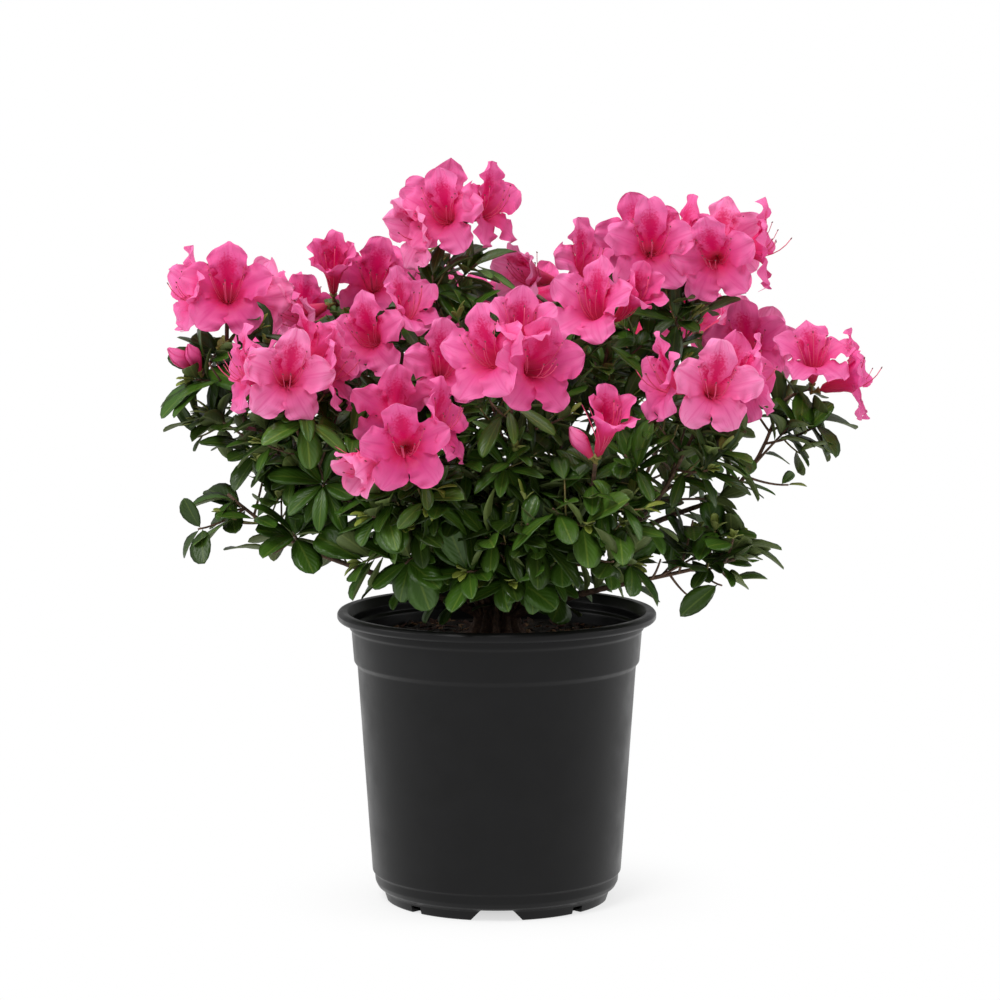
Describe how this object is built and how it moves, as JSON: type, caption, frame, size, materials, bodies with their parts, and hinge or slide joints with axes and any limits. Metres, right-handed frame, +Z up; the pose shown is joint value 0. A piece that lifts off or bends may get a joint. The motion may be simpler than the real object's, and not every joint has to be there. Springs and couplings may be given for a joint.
{
  "type": "potted azalea shrub",
  "caption": "Flowering evergreen azalea shrub, broad and rounded, with ruffled funnel blossoms over small elliptic leaves, in a black tapered nursery pot with a rolled rim.",
  "frame": {"origin": "centre of the pot's flat underside", "axes": "+Z up out of the pot, +X towards the shrub's right, -Y towards its front"},
  "size_m": [0.5018, 0.389, 0.5323],
  "materials": {
    "pot_plastic": "satin black",
    "potting_mix": "damp, crumbly",
    "bark": "thin, scaly bark",
    "foliage": "semi-gloss leaf",
    "blossom": "soft matte petal"
  },
  "bodies": {
    "root": {"pot": "pot_plastic", "potting_mix": "potting_mix", "root_crown": "bark", "bough_low_left": "bark", "bough_far_left": "bark", "bough_low_front_left": "bark", "bough_front_centre": "bark", "bough_low_front_right": "bark", "bough_low_right": "bark", "bough_far_right": "bark", "bough_back_right": "bark", "bough_back_centre": "bark", "bough_back_left": "bark", "bough_crown_top": "bark", "bough_right_crown": "bark", "bough_mid_left": "bark", "bough_left_shoulder": "bark", "bough_centre_left": "bark", "bough_low_centre": "bark", "bough_centre_right": "bark", "bough_back_crown": "bark", "bough_right_mid": "bark", "bough_low_back": "bark", "foliage_low_left": "foliage", "foliage_far_left": "foliage", "foliage_low_front_left": "foliage", "foliage_front_centre": "foliage", "foliage_low_front_right": "foliage", "foliage_low_right": "foliage", "foliage_far_right": "foliage", "foliage_back_right": "foliage", "foliage_back_centre": "foliage", "foliage_back_left": "foliage", "foliage_crown_top": "foliage", "foliage_right_crown": "foliage", "foliage_mid_left": "foliage", "foliage_left_shoulder": "foliage", "foliage_centre_left": "foliage", "foliage_low_centre": "foliage", "foliage_centre_right": "foliage", "foliage_back_crown": "foliage", "foliage_right_mid": "foliage", "foliage_low_back": "foliage", "blossom_far_left": "blossom", "blossom_low_front_left": "blossom", "blossom_front_centre": "blossom", "blossom_low_front_right": "blossom", "blossom_far_right": "blossom", "blossom_back_right": "blossom", "blossom_back_centre": "blossom", "blossom_back_left": "blossom", "blossom_crown_top": "blossom", "blossom_right_crown": "blossom", "blossom_mid_left": "blossom", "blossom_left_shoulder": "blossom", "blossom_centre_left": "blossom", "blossom_centre_right": "blossom", "blossom_back_crown": "blossom", "blossom_right_mid": "blossom"}
  },
  "joints": []
}
